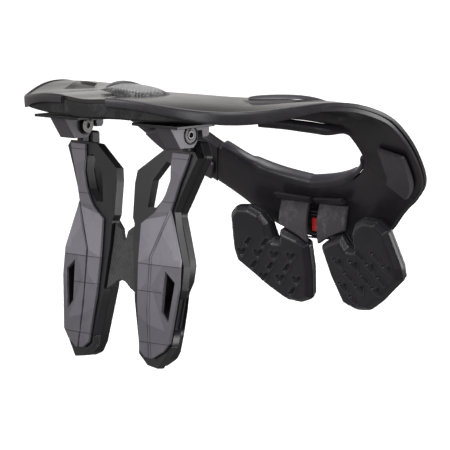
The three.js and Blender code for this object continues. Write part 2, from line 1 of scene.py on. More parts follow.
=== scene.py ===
# %% [markdown]
# # A motocross neck brace
# The brace is a stiff open ring that a rider wears on the shoulders. Behind the neck it widens into
# a glossy faceted table, two legs hang down the back on bolts, and two foam pads hang on the chest.
# The engineering model gives every part its place. Here each part gets its real surface: rounded
# edges, moulded facets, grooves, foam and grained plastic. Sizes are in millimetres times MM.

# %% Load the frame
import math

import bmesh
import bpy
from mathutils import Matrix, Vector


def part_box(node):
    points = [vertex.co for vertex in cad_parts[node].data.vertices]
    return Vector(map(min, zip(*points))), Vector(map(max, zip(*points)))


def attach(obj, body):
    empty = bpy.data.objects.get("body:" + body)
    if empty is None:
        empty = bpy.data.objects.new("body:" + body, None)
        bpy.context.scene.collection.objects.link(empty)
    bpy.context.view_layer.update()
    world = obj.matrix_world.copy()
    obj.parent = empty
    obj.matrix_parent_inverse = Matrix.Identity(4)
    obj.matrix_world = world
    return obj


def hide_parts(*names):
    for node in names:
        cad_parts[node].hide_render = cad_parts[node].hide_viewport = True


MM = 0.001
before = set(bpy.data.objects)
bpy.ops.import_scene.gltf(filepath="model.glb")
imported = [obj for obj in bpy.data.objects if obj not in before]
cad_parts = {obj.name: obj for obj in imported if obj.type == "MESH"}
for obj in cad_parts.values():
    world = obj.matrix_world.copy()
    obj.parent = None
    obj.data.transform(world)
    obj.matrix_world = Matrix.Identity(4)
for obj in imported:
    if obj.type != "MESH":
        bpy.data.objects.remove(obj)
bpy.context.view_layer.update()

# %% [markdown]
# ## Camera, floor and light
# The photograph looks at the brace from behind its right side, a little above the level, with a
# long lens, so lines that run away hardly close up. The floor is a large pale sheet well below the
# brace. The light is a pale ceiling and four soft panels, and the room is darker low down, because
# black plastic shows little but what it mirrors, and needs something dark to mirror too.

# %% Camera
LENS = 285.7
camera_place = Vector((1.7233, -1.7985, 0.2340))
camera_aim = Vector((0, -0.014, -0.075))
FAR_CLIP = 60
camera_data = bpy.data.cameras.new("camera")
camera_data.lens = LENS
camera_data.clip_end = FAR_CLIP
camera = bpy.data.objects.new("camera", camera_data)
bpy.context.scene.collection.objects.link(camera)
camera.location = camera_place
camera.rotation_euler = (camera_aim - camera_place).to_track_quat("-Z", "Y").to_euler()
bpy.context.scene.camera = camera
print("camera", [round(v, 3) for v in camera_place], "lens", LENS)

# %% Floor
FLOOR_LEVEL = -0.30
FLOOR_SIZE = 60
FLOOR_PAINT = (0.93, 0.93, 0.93, 1)
bpy.ops.object.select_all(action="DESELECT")
bpy.ops.mesh.primitive_plane_add(size=FLOOR_SIZE, location=(0, 0, FLOOR_LEVEL))
floor = bpy.context.object
floor.name = "floor"
floor_material = bpy.data.materials.new("floor_paint")
floor_material.use_nodes = True
floor_shader = floor_material.node_tree.nodes["Principled BSDF"]
floor_shader.inputs["Base Color"].default_value = FLOOR_PAINT
floor_shader.inputs["Roughness"].default_value = 0.9
floor_shader.inputs["Specular IOR Level"].default_value = 0.1
floor.data.materials.append(floor_material)
floor.visible_diffuse = False
floor.visible_glossy = False
print("floor at", FLOOR_LEVEL)

# %% [markdown]
# The floor shows to the camera and takes shadows, but throws no light back under the brace. The
# room gives light by height instead, with a bright band over the horizon that the glossy table
# mirrors. To the camera itself the room is plain white.

# %% Room light by height
# share of the height from straight down to straight up, and its brightness
SKY = [(0.0, 0.16), (0.48, 0.3), (0.51, 0.62), (0.61, 0.52), (0.66, 0.06), (0.86, 0.16), (1.0, 1.6)]
room = bpy.data.worlds.new("room")
room.use_nodes = True
room_nodes, room_links = room.node_tree.nodes, room.node_tree.links
sky_place = room_nodes.new("ShaderNodeTexCoord")
sky_parts = room_nodes.new("ShaderNodeSeparateXYZ")
sky_height = room_nodes.new("ShaderNodeMapRange")
sky_height.inputs["From Min"].default_value = -1
sky_tone = room_nodes.new("ShaderNodeValToRGB")
for i, (at, tone) in enumerate(SKY):
    stop = sky_tone.color_ramp.elements[i] if i < 2 else sky_tone.color_ramp.elements.new(at)
    stop.position = at
    stop.color = (tone, tone * 0.97, tone * 0.95, 1)
seen = room_nodes.new("ShaderNodeLightPath")
seen_or_lit = room_nodes.new("ShaderNodeMix")
seen_or_lit.data_type = "RGBA"
seen_or_lit.inputs[7].default_value = (1, 1, 1, 1)
room_links.new(sky_place.outputs["Generated"], sky_parts.inputs[0])
room_links.new(sky_parts.outputs["Z"], sky_height.inputs["Value"])
room_links.new(sky_height.outputs["Result"], sky_tone.inputs["Fac"])
room_links.new(seen.outputs["Is Camera Ray"], seen_or_lit.inputs["Factor"])
room_links.new(sky_tone.outputs["Color"], seen_or_lit.inputs[6])
room_links.new(seen_or_lit.outputs[2], room_nodes["Background"].inputs["Color"])
bpy.context.scene.world = room
bpy.context.scene.view_settings.view_transform = "Standard"
print("room light stops", len(SKY))


# %% The ceiling and the soft panels
CEILING_POWER = 2.9
CEILING_SPREAD = math.radians(50)
CEILING_LEAN = (math.radians(8), math.radians(10), 0)


def soft_panel(name, place, width, power):
    """A square soft light that faces the brace."""
    data = bpy.data.lights.new(name, "AREA")
    data.shape = "SQUARE"
    data.size = width
    data.energy = power
    panel = bpy.data.objects.new(name, data)
    bpy.context.scene.collection.objects.link(panel)
    panel.location = place
    panel.rotation_euler = (camera_aim - Vector(place)).to_track_quat("-Z", "Y").to_euler()
    return panel


sun_data = bpy.data.lights.new("ceiling", "SUN")
sun_data.energy = CEILING_POWER
sun_data.angle = CEILING_SPREAD
sun = bpy.data.objects.new("ceiling", sun_data)
bpy.context.scene.collection.objects.link(sun)
sun.rotation_euler = CEILING_LEAN
soft_panel("panel_right", (1.5, 1.45, 0.05), 1.1, 20)
soft_panel("panel_left", (-0.9, -1.7, 0.7), 0.9, 15)
soft_panel("panel_low", (1.1, -2.1, -0.25), 0.8, 9)
soft_panel("panel_camera", (2.0, -1.5, 0.75), 0.7, 14)

# %% [markdown]
# ## Working by hand, in code
# Every part goes through the same few moves: take it alone, go into edit mode, select by place,
# press an operator, and come out. These helpers name those moves. A part that starts from its
# engineering solid is copied first and its loose triangles are welded, because the solid itself
# has to stay as it is.

# %% Selecting and editing
WELD = 0.02 * MM
FLAT = math.radians(0.6)
PLATE_CORNER = math.radians(20)
QUAD_LIMIT = math.radians(70)


def only(*objects):
    """Leave edit mode and select just these objects."""
    if bpy.context.object and bpy.context.object.mode != "OBJECT":
        bpy.ops.object.mode_set(mode="OBJECT")
    bpy.ops.object.select_all(action="DESELECT")
    for item in objects:
        item.select_set(True)
    bpy.context.view_layer.objects.active = objects[0]


def edit(piece, kind="FACE"):
    """Open a piece in edit mode with all of it selected."""
    only(piece)
    bpy.ops.object.mode_set(mode="EDIT")
    bpy.ops.mesh.select_mode(type=kind)
    bpy.ops.mesh.select_all(action="SELECT")


def pick(piece, test, kind="FACE"):
    """Select the faces, edges or corners that pass a test, and say how many there are."""
    bpy.ops.mesh.select_mode(type=kind)
    bpy.ops.mesh.select_all(action="DESELECT")
    mesh = bmesh.from_edit_mesh(piece.data)
    group = {"FACE": mesh.faces, "EDGE": mesh.edges, "VERT": mesh.verts}[kind]
    found = [item for item in group if test(item)]
    for item in found:
        item.select_set(True)
    mesh.select_flush_mode()
    bmesh.update_edit_mesh(piece.data)
    return len(found)


def finish_edit():
    """Come out of edit mode."""
    bpy.ops.object.mode_set(mode="OBJECT")


def apply(piece, kind, **settings):
    """Add a modifier with these settings and apply it."""
    only(piece)
    modifier = piece.modifiers.new(kind.lower(), kind)
    for name, value in settings.items():
        setattr(modifier, name, value)
    bpy.ops.object.modifier_apply(modifier=modifier.name)


def smooth(piece, degrees=32):
    """Shade smooth over shallow angles and leave the corners sharp."""
    only(piece)
    bpy.ops.object.shade_smooth_by_angle(angle=math.radians(degrees))


def welded_copy(node, name):
    """A copy of an engineering solid with its triangles welded into one skin."""
    piece = bpy.data.objects.new(name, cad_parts[node].data.copy())
    bpy.context.scene.collection.objects.link(piece)
    piece.data.materials.clear()
    only(piece)
    bpy.ops.mesh.customdata_custom_splitnormals_clear()
    edit(piece)
    bpy.ops.mesh.remove_doubles(threshold=WELD)
    finish_edit()
    return piece


def plate_copy(node, name, edge, segments=2):
    """A flat-faced part with rounded edges."""
    piece = welded_copy(node, name)
    edit(piece)
    bpy.ops.mesh.dissolve_limited(angle_limit=FLAT)
    finish_edit()
    only(piece)
    bpy.ops.object.shade_smooth()
    apply(piece, "BEVEL", width=edge * MM, segments=segments, limit_method="ANGLE",
          angle_limit=PLATE_CORNER, harden_normals=True)
    return piece


def ring_copy(node, name, crease=35, levels=2):
    """A part that runs round the ring: its facets become one smooth sweep, its corners stay."""
    piece = welded_copy(node, name)
    edit(piece)
    bpy.ops.mesh.tris_convert_to_quads(face_threshold=QUAD_LIMIT, shape_threshold=QUAD_LIMIT)
    bpy.ops.mesh.select_mode(type="EDGE")
    bpy.ops.mesh.select_all(action="DESELECT")
    bpy.ops.mesh.edges_select_sharp(sharpness=math.radians(crease))
    bpy.ops.transform.edge_crease(value=1)
    finish_edit()
    apply(piece, "SUBSURF", levels=levels, render_levels=levels)
    return piece


def ease(t):
    """From 0 to 1 with a soft start and a soft end."""
    t = max(0.0, min(1.0, t))
    return t * t * (3 - 2 * t)


def round_edges(piece, width, segments=2, degrees=35):
    """Round the edges that are sharper than an angle, by a width in millimetres."""
    apply(piece, "BEVEL", width=width * MM, segments=segments, limit_method="ANGLE",
          angle_limit=math.radians(degrees))


def mirror_copy(piece, name):
    """The left-hand twin of a right-hand piece."""
    twin = bpy.data.objects.new(name, piece.data.copy())
    bpy.context.scene.collection.objects.link(twin)
    twin.data.transform(Matrix.Scale(-1, 4, Vector((1, 0, 0))))
    twin.data.flip_normals()
    return twin


def inside(rows, x, z):
    """True where a place lies inside a loop of corners."""
    odd = False
    for a, b in zip(rows, rows[1:] + rows[:1]):
        if (a[1] > z) != (b[1] > z) and x < a[0] + (b[0] - a[0]) * (z - a[1]) / (b[1] - a[1]):
            odd = not odd
    return odd


def dress(piece, material, slot, body, *nodes, fill=None):
    """Give a piece its finish and its body, and hide the engineering solids that it stands for."""
    piece.data.materials.clear()
    piece.data.materials.append(material)
    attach(piece, body)
    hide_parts(*nodes)
    print(piece.name, "faces", len(piece.data.polygons), "on", body)


# %% [markdown]
# ## Finishes
# Injection-moulded plastic is never quite plain. It has a fine grain from the mould and faint
# marks from handling, and these two effects are node groups that most of the materials share.
# Each material gives them its own scale and strength, and keeps its constant values on its shader.

# %% Shared effects
def new_group(name, inputs, outputs):
    """An empty node group with named sockets."""
    group = bpy.data.node_groups.new(name, "ShaderNodeTree")
    for label, kind, value in inputs:
        socket = group.interface.new_socket(label, in_out="INPUT", socket_type=kind)
        if value is not None:
            socket.default_value = value
    for label, kind in outputs:
        group.interface.new_socket(label, in_out="OUTPUT", socket_type=kind)
    return group


def math_node(nodes, links, operation, first, second=0.0):
    """A Math node that takes sockets or numbers."""
    node = nodes.new("ShaderNodeMath")
    node.operation = operation
    for socket, value in zip(node.inputs, (first, second)):
        if isinstance(value, (int, float)):
            socket.default_value = value
        else:
            links.new(value, socket)
    return node.outputs[0]


def grain_group():
    """Mould grain: fine bumps over a slow waviness. Puts out a height from 0 to 1."""
    group = new_group("Mould grain", [("Vector", "NodeSocketVector", None),
                                      ("Scale", "NodeSocketFloat", 1500.0),
                                      ("Waviness", "NodeSocketFloat", 0.3)],
                      [("Height", "NodeSocketFloat")])
    nodes, links = group.nodes, group.links
    start = nodes.new("NodeGroupInput")
    end = nodes.new("NodeGroupOutput")
    fine = nodes.new("ShaderNodeTexNoise")
    fine.inputs["Detail"].default_value = 2
    cells = nodes.new("ShaderNodeTexVoronoi")
    slow = nodes.new("ShaderNodeTexNoise")
    slow.inputs["Scale"].default_value = 60
    for texture in (fine, cells, slow):
        links.new(start.outputs["Vector"], texture.inputs["Vector"])
    links.new(start.outputs["Scale"], fine.inputs["Scale"])
    links.new(start.outputs["Scale"], cells.inputs["Scale"])
    both = math_node(nodes, links, "MULTIPLY", fine.outputs[0], cells.outputs[0])
    wave = math_node(nodes, links, "MULTIPLY", slow.outputs[0], start.outputs["Waviness"])
    total = math_node(nodes, links, "ADD", both, wave)
    links.new(total, end.inputs["Height"])
    return group


def handling_group():
    """Handling marks: slow blotches and thin scuffs. Puts out a colour and a roughness."""
    group = new_group("Handling marks", [("Vector", "NodeSocketVector", None),
                                         ("Colour", "NodeSocketColor", (0.1, 0.1, 0.1, 1)),
                                         ("Marked", "NodeSocketColor", (0.2, 0.2, 0.2, 1)),
                                         ("Amount", "NodeSocketFloat", 0.2),
                                         ("Roughness", "NodeSocketFloat", 0.5)],
                      [("Colour", "NodeSocketColor"), ("Roughness", "NodeSocketFloat")])
    nodes, links = group.nodes, group.links
    start = nodes.new("NodeGroupInput")
    end = nodes.new("NodeGroupOutput")
    blotch = nodes.new("ShaderNodeTexNoise")
    blotch.inputs["Scale"].default_value = 38
    blotch.inputs["Detail"].default_value = 6
    scuff = nodes.new("ShaderNodeTexNoise")
    scuff.inputs["Scale"].default_value = 240
    scuff.inputs["Detail"].default_value = 8
    scuff.inputs["Roughness"].default_value = 0.7
    for texture in (blotch, scuff):
        links.new(start.outputs["Vector"], texture.inputs["Vector"])
    ramp = nodes.new("ShaderNodeMapRange")
    ramp.inputs["From Min"].default_value = 0.52
    ramp.inputs["From Max"].default_value = 0.75
    mix_of = math_node(nodes, links, "MULTIPLY", scuff.outputs[0], blotch.outputs[0])
    raised = math_node(nodes, links, "MULTIPLY", mix_of, 2.2)
    links.new(raised, ramp.inputs["Value"])
    share = math_node(nodes, links, "MULTIPLY", ramp.outputs["Result"], start.outputs["Amount"])
    mix = nodes.new("ShaderNodeMix")
    mix.data_type = "RGBA"
    links.new(share, mix.inputs["Factor"])
    links.new(start.outputs["Colour"], mix.inputs[6])
    links.new(start.outputs["Marked"], mix.inputs[7])
    swing = math_node(nodes, links, "SUBTRACT", blotch.outputs[0], 0.5)
    small = math_node(nodes, links, "MULTIPLY", swing, 0.22)
    rough = math_node(nodes, links, "ADD", small, start.outputs["Roughness"])
    links.new(mix.outputs[2], end.inputs["Colour"])
    links.new(rough, end.inputs["Roughness"])
    return group


GRAIN = grain_group()
HANDLING = handling_group()
print("groups", GRAIN.name, "and", HANDLING.name)

# %% [markdown]
# A finish is one recipe: colour and roughness through the handling marks, the mould grain as bump,
# and the shader's own coat, sheen and metal. A pattern of its own, such as a weave or ribs, is
# added to the height before the bump.

# %% The recipe for a finish
def finish_of(name, colour, marked, amount, roughness, grain, bump, waviness=0.3, **own):
    """One material. own sets the shader's other sockets by name."""
    material = bpy.data.materials.new(name)
    material.use_nodes = True
    nodes, links = material.node_tree.nodes, material.node_tree.links
    shader = nodes["Principled BSDF"]
    place = nodes.new("ShaderNodeTexCoord")
    handling = nodes.new("ShaderNodeGroup")
    handling.node_tree = HANDLING
    handling.name = "handling"
    handling.inputs["Colour"].default_value = (*colour, 1)
    handling.inputs["Marked"].default_value = (*marked, 1)
    handling.inputs["Amount"].default_value = amount
    handling.inputs["Roughness"].default_value = roughness
    links.new(place.outputs["Object"], handling.inputs["Vector"])
    mould = nodes.new("ShaderNodeGroup")
    mould.node_tree = GRAIN
    mould.name = "grain"
    mould.inputs["Scale"].default_value = grain
    mould.inputs["Waviness"].default_value = waviness
    links.new(place.outputs["Object"], mould.inputs["Vector"])
    relief = nodes.new("ShaderNodeBump")
    relief.name = "relief"
    relief.inputs["Strength"].default_value = bump
    relief.inputs["Distance"].default_value = 0.2 * MM
    links.new(mould.outputs["Height"], relief.inputs["Height"])
    links.new(relief.outputs["Normal"], shader.inputs["Normal"])
    links.new(handling.outputs["Colour"], shader.inputs["Base Color"])
    links.new(handling.outputs["Roughness"], shader.inputs["Roughness"])
    for label, value in own.items():
        shader.inputs[label.replace("_", " ")].default_value = value
    return material


def add_ribs(material, turn, pitch, depth):
    """Put two crossing sets of fine ribs, a knurl or a weave, on top of the grain."""
    nodes, links = material.node_tree.nodes, material.node_tree.links
    place = nodes.new("ShaderNodeTexCoord")
    height = nodes["grain"].outputs["Height"]
    for sign in (1, -1):
        mapping = nodes.new("ShaderNodeMapping")
        mapping.inputs["Rotation"].default_value = [sign * math.radians(a) for a in turn]
        links.new(place.outputs["Object"], mapping.inputs["Vector"])
        wave = nodes.new("ShaderNodeTexWave")
        wave.inputs["Scale"].default_value = 0.314 / (pitch * MM)
        links.new(mapping.outputs["Vector"], wave.inputs["Vector"])
        share = math_node(nodes, links, "MULTIPLY", wave.outputs[1], depth)
        height = math_node(nodes, links, "ADD", height, share)
    links.new(height, nodes["relief"].inputs["Height"])


def add_painted_shading(material, dark, light):
    """Let a number that each face carries choose a tone between two colours: painted shade at 0 and
    painted light at 1.
    """
    nodes, links = material.node_tree.nodes, material.node_tree.links
    carried = nodes.new("ShaderNodeAttribute")
    carried.attribute_name = "tone"
    mix = nodes.new("ShaderNodeMix")
    mix.data_type = "RGBA"
    mix.inputs[6].default_value = (*dark, 1)
    mix.inputs[7].default_value = (*light, 1)
    links.new(carried.outputs["Fac"], mix.inputs["Factor"])
    links.new(mix.outputs[2], nodes["handling"].inputs["Colour"])


# %% The finishes of this brace
gloss_shell = finish_of("shell_gloss", (0.02, 0.0185, 0.0185), (0.045, 0.042, 0.041), 0.3, 0.17,
                        900, 0.03, 0.8, Coat_Weight=0.4, Coat_Roughness=0.12)
table_gloss_painted_shade = finish_of("table_gloss_painted_shade", (0.02, 0.0185, 0.0185), (0.045, 0.042, 0.041), 0.3, 0.17,
                        900, 0.03, 0.8, Coat_Weight=0.4, Coat_Roughness=0.12)
# painted shade: the scoops' facets take the dark tone, and the rest of the table keeps its own
# colour
add_painted_shading(table_gloss_painted_shade, (0.003, 0.0028, 0.0032), (0.028, 0.026, 0.0255))
band_satin = finish_of("band_satin", (0.018, 0.0165, 0.02), (0.04, 0.037, 0.043), 0.35, 0.32,
                       2200, 0.16)
# painted light: a lighter copy of the black plastic for the parts that sit in shade under the ring
inner_satin_painted_light = finish_of("inner_satin_painted_light", (0.027, 0.0245, 0.0295), (0.05, 0.046, 0.055), 0.3, 0.3,
                        1800, 0.14)
leg_satin = finish_of("leg_satin", (0.0075, 0.0068, 0.009), (0.02, 0.0185, 0.023), 0.3, 0.36,
                      1800, 0.14)
frame_satin = finish_of("frame_satin", (0.0125, 0.0115, 0.0145), (0.032, 0.03, 0.036), 0.3, 0.34,
                        1800, 0.14)
cover_satin_painted_shading = finish_of("cover_satin_painted_shading", (0.098, 0.096, 0.11), (0.15, 0.15, 0.165), 0.3, 0.36,
                        2400, 0.14)
# the cover's grey, with painted shade and painted light for its facets
add_painted_shading(cover_satin_painted_shading, (0.03, 0.028, 0.035), (0.225, 0.215, 0.25))
# painted light: the bracket is coloured lighter than the other black plastics for the reflection
# its face catches; its metal gives a real reflection too
bracket_satin_painted_light = finish_of("bracket_satin_painted_light", (0.1, 0.095, 0.11), (0.14, 0.135, 0.15), 0.3, 0.34,
                          1800, 0.1, Metallic=0.2)
pad_foam = finish_of("pad_foam", (0.0145, 0.013, 0.0195), (0.034, 0.031, 0.042), 0.35, 0.33,
                     1300, 0.25, 0.5, Sheen_Weight=0.1, Sheen_Roughness=0.5)
# painted shade: a darker copy of the pad foam for the leg pads, whose sides catch too much light
leg_foam_painted_shade = finish_of("leg_foam_painted_shade", (0.007, 0.0064, 0.0082), (0.02, 0.0185, 0.024), 0.35, 0.42,
                     1300, 0.25, 0.5)
core_foam = finish_of("core_foam", (0.006, 0.0056, 0.0065), (0.05, 0.05, 0.05), 0.45, 0.75,
                      520, 0.9, 0.6)
# painted light: the liner's colour is made lighter to stand for the light falling on it inside the
# ring
liner_skin_painted_light = finish_of("liner_skin_painted_light", (0.075, 0.069, 0.082), (0.11, 0.102, 0.12), 0.3, 0.3,
                       1500, 0.2, 0.5)
strap_rubber = finish_of("strap_rubber", (0.05, 0.047, 0.054), (0.11, 0.105, 0.115), 0.75,
                         0.72, 900, 0.5, 0.6)
bolt_steel = finish_of("bolt_steel", (0.11, 0.107, 0.105), (0.07, 0.067, 0.065), 0.4, 0.3,
                       1500, 0.06, Metallic=1.0)
boot_gloss = finish_of("boot_gloss", (0.008, 0.008, 0.009), (0.03, 0.03, 0.03), 0.3, 0.18,
                       900, 0.03, 0.5, Coat_Weight=0.4, Coat_Roughness=0.08)
web_rubber = finish_of("web_rubber", (0.034, 0.033, 0.034), (0.07, 0.07, 0.07), 0.5, 0.62,
                       900, 0.4)
add_ribs(web_rubber, (0, 38, 0), 2.3, 1.6)
pad_textile = finish_of("pad_textile", (0.12, 0.12, 0.123), (0.26, 0.26, 0.265), 0.5, 0.38,
                        700, 0.6, Sheen_Weight=0.3, Sheen_Roughness=0.4)
# the textile's tones: dark for painted shade on the rim, pale for a painted highlight on the crown
add_painted_shading(pad_textile, (0.012, 0.0115, 0.013), (0.19, 0.19, 0.193))
add_ribs(pad_textile, (0, 0, 40), 2.2, 2.0)
lever_red = finish_of("lever_red", (0.5, 0.02, 0.02), (0.65, 0.12, 0.1), 0.3, 0.36, 1200, 0.08)
print("finishes", len(bpy.data.materials))

# %% [markdown]
# ## The ring
# The ring is moulded in one long curve, so each of its parts starts from its engineering sweep.
# The facets along the sweep are smoothed by subdivision, while the corners of the section are
# creased so that they stay, and get a small rounding of their own.

# %% The scooped facet on each wing of the table
SCOOP_RIM = [(92, -82), (122, -38), (98, -43), (69, -69)]
SCOOP_LOW = (84, -66)
SCOOP_DEPTH = 5.0
SCOOP_MARGIN = 4


def scoop_fall(x, y):
    """How far the scoop lies below the table here: a pit of four flat facets."""
    x = abs(x)
    for i, a in enumerate(SCOOP_RIM):
        b = SCOOP_RIM[(i + 1) % len(SCOOP_RIM)]
        area = (b[0] - a[0]) * (SCOOP_LOW[1] - a[1]) - (b[1] - a[1]) * (SCOOP_LOW[0] - a[0])
        share_low = ((b[0] - a[0]) * (y - a[1]) - (b[1] - a[1]) * (x - a[0])) / area
        share_b = ((x - a[0]) * (SCOOP_LOW[1] - a[1]) - (y - a[1]) * (SCOOP_LOW[0] - a[0])) / area
        share_a = 1 - share_low - share_b
        if min(share_low, share_a, share_b) > -1e-4:
            return share_low * SCOOP_DEPTH
    return 0.0


# painted shade: the table's own tone, and darker tones painted on the scoop's facets as the shade
# they would fall into
TABLE_TONE = 0.7
SCOOP_PAINTED_SHADES = [0.35, 0.5, 0.0, 0.1]


def scoop_painted_shade(x, y):
    """The painted shade of the scoop's facet here: the facets face different ways, and most are
    painted dark as shade.
    """
    for i, a in enumerate(SCOOP_RIM):
        b = SCOOP_RIM[(i + 1) % len(SCOOP_RIM)]
        if inside([a, b, SCOOP_LOW], x, y):
            return SCOOP_PAINTED_SHADES[i]
    return TABLE_TONE


def cut_line(piece, a, b, test):
    """Cut the chosen faces along the upright plane through two places on the table."""
    pick(piece, test)
    side = Vector((b[1] - a[1], a[0] - b[0], 0)).normalized()
    bpy.ops.mesh.bisect(plane_co=Vector((a[0], a[1], 0)) * MM, plane_no=side)


print("scoop", SCOOP_DEPTH, "mm deep, facets", len(SCOOP_RIM))

# %% The glossy table, cut and pressed
table = ring_copy("table_top", "table_shell")
edit(table)
for sign in (1, -1):
    low_x = min(p[0] for p in SCOOP_RIM) - SCOOP_MARGIN
    high_x = max(p[0] for p in SCOOP_RIM) + SCOOP_MARGIN
    low_y = min(p[1] for p in SCOOP_RIM) - SCOOP_MARGIN
    high_y = max(p[1] for p in SCOOP_RIM) + SCOOP_MARGIN

    def near_scoop(face):
        """True for the faces round the scoop on this side."""
        x, y, _ = face.calc_center_median() / MM
        return low_x < sign * x < high_x and low_y < y < high_y

    rim = [(sign * x, y) for x, y in SCOOP_RIM]
    low = (sign * SCOOP_LOW[0], SCOOP_LOW[1])
    for i, a in enumerate(rim):
        cut_line(table, a, rim[(i + 1) % len(rim)], near_scoop)
        cut_line(table, a, low, near_scoop)
mesh = bmesh.from_edit_mesh(table.data)
for corner in mesh.verts:
    corner.co.z -= scoop_fall(corner.co.x / MM, corner.co.y / MM) * MM
bmesh.update_edit_mesh(table.data)
finish_edit()
round_edges(table, 0.5)
# painted shade: each face of a scoop takes its facet's painted dark tone, and the rest of the table
# its own tone
tone = table.data.attributes.new("tone", "FLOAT", "FACE")
for face in table.data.polygons:
    x, y, _ = face.center / MM
    if scoop_fall(x, y) > 0.02:
        tone.data[face.index].value = scoop_painted_shade(abs(x), y)
    else:
        tone.data[face.index].value = TABLE_TONE
smooth(table, 7)
dress(table, table_gloss_painted_shade, "gloss_shell", "brace", "table_top")

# %% [markdown]
# The other ring parts come in pairs. Rounding and subdivision alone leave them too even, so some
# get one move of their own: the collar thins past its sleeve, the band steps up to a lip, the roll
# beside the neck stays high, and the liner swells. The halves meet in the middle of the front.

# %% How the ring parts are shaped
RING_MIDDLE = Vector((0, 10))
SLEEVE_END = 38
SLEEVE_EASE = 2.5
PIPE_SHARE = 0.66
SECTION_STEP = 2.0
SEAM_REACH = 0.45
SEAM_LAP = 0.05
BAND_STEP = -60
BAND_STEP_RUN = 8
LIP_SHARE = 0.6
LINER_SWELL = 1.6
ROLL_FROM = -10
ROLL_RUN = 50
ROLL_LIFT = 13
SEAL_SIDE = 0.9
SEAL_UP = 1.4


def ring_turn(place):
    """The angle round the ring in degrees, 0 at the front and growing to either side."""
    x, y = place.x / MM - RING_MIDDLE.x, place.y / MM - RING_MIDDLE.y
    return abs(math.degrees(math.atan2(x, y)))


def sections_of(piece):
    """The corners of a ring part, gathered by their angle round the ring."""
    sections = {}
    for corner in piece.data.vertices:
        step = round(ring_turn(corner.co) / SECTION_STEP)
        for near in (step - 1, step, step + 1):
            sections.setdefault(near, []).append(corner.co.copy())
    return sections


def taper_collar(piece):
    """Past the sleeve's end the collar's roll is a thinner pipe on the same line."""
    sections = sections_of(piece)
    for corner in piece.data.vertices:
        turn = ring_turn(corner.co)
        share = ease((turn - SLEEVE_END) / SLEEVE_EASE)
        near = sections[round(turn / SECTION_STEP)]
        centre = sum(near, Vector()) / len(near)
        corner.co = corner.co.lerp(centre, share * (1 - PIPE_SHARE))


def step_band(piece):
    """The band round the rim is broad behind and steps up to a thin lip in front."""
    sections = sections_of(piece)
    for corner in piece.data.vertices:
        share = ease((corner.co.y / MM - BAND_STEP) / BAND_STEP_RUN)
        near = sections[round(ring_turn(corner.co) / SECTION_STEP)]
        top = max(near, key=lambda place: place.z)
        corner.co = corner.co.lerp(top, share * (1 - LIP_SHARE))


def lift_roll(piece):
    """The roll beside the neck stays high to its front end."""
    for corner in piece.data.vertices:
        share = ease((corner.co.y / MM - ROLL_FROM) / ROLL_RUN)
        corner.co.z += ROLL_LIFT * share * MM


def seal(piece):
    """Push the outer and upper sides out a little, so no light shows past the shell."""
    moves = []
    for corner in piece.data.vertices:
        outward = Vector((corner.co.x, corner.co.y - RING_MIDDLE.y * MM, 0)).normalized()
        aside = SEAL_SIDE if corner.normal.dot(outward) > 0.5 else 0.0
        up = SEAL_UP if corner.normal.z > 0.5 else 0.0
        moves.append((outward * aside + Vector((0, 0, up))) * MM)
    for corner, move in zip(piece.data.vertices, moves):
        corner.co += move


def close_seam(piece):
    """Let each half reach a hair past the middle, so that no light shows through the seam."""
    for corner in piece.data.vertices:
        if abs(corner.co.x) < SEAM_REACH * MM:
            corner.co.x = -math.copysign(SEAM_LAP * MM, corner.co.x)


def swell_liner(piece):
    """The liner is a cushion: the middle of its face stands out from its edges."""
    centre = sum((corner.co for corner in piece.data.vertices), Vector())
    centre /= len(piece.data.vertices)
    reach = max((corner.co - centre).length for corner in piece.data.vertices)
    for corner in piece.data.vertices:
        inward = Vector((-corner.co.x, RING_MIDDLE.y * MM - corner.co.y, 0)).normalized()
        share = 1 - ((corner.co - centre).length / reach) ** 2
        if corner.normal.dot(inward) > 0.3:
            corner.co += inward * LINER_SWELL * share * MM


RING_SHAPING = {
    "collar_foam": taper_collar, "shoulder_liner": swell_liner, "neck_roll": lift_roll,
    "rim_band": step_band, "shoulder_frame": seal, "chest_frame": seal,
}
print("ring parts with a move of their own", sorted(RING_SHAPING))

# %% The rest of the ring, pair by pair
RING_PAIRS = [
    # name of the node pair, crease, rounding, finish, slot, fill of a padded piece
    ("front_shell", 35, 0.5, gloss_shell, "gloss_shell", None),
    ("rim_band", 60, 0.7, band_satin, "edge_band", None),
    ("shoulder_frame", 35, 0.6, inner_satin_painted_light, "frame_plastic", None),
    ("neck_roll", 60, 0.5, inner_satin_painted_light, "frame_plastic", None),
    ("chest_frame", 35, 0.6, inner_satin_painted_light, "frame_plastic", None),
    ("shoulder_liner", 35, 1.5, liner_skin_painted_light, "liner", 0.9),
    ("collar_foam", 80, 1.0, pad_foam, "foam", 0.9),
    ("side_collar", 80, 0.8, pad_foam, "foam", 0.9),
]
for node, crease, rounding, finish, slot, fill in RING_PAIRS:
    for side in ("right", "left"):
        part = ring_copy(f"{node}_{side}", f"{node}_skin_{side}", crease)
        if node in RING_SHAPING:
            RING_SHAPING[node](part)
        round_edges(part, rounding, 3)
        close_seam(part)
        smooth(part, 32)
        dress(part, finish, slot, "brace", f"{node}_{side}", fill=fill)

# %% [markdown]
# Under the table lies a thick foam core, and on top of it a low cushion with a woven face. The
# cushion's rim is painted dark as shade and its crown painted pale as a highlight, which a number
# on each corner of its mesh tells the finish.

# %% The foam under the table
core = ring_copy("foam_core", "foam_core_skin", 35)
round_edges(core, 1.2, 3)
smooth(core, 40)
dress(core, core_foam, "foam", "brace", "foam_core", fill=0.9)

# %% The pad on top of the table
REAR_WIDTH = 0.82
REAR_SLOPE = 0.05
REAR_LEVEL_AT = 25 * MM
REAR_CROWN = 0.6
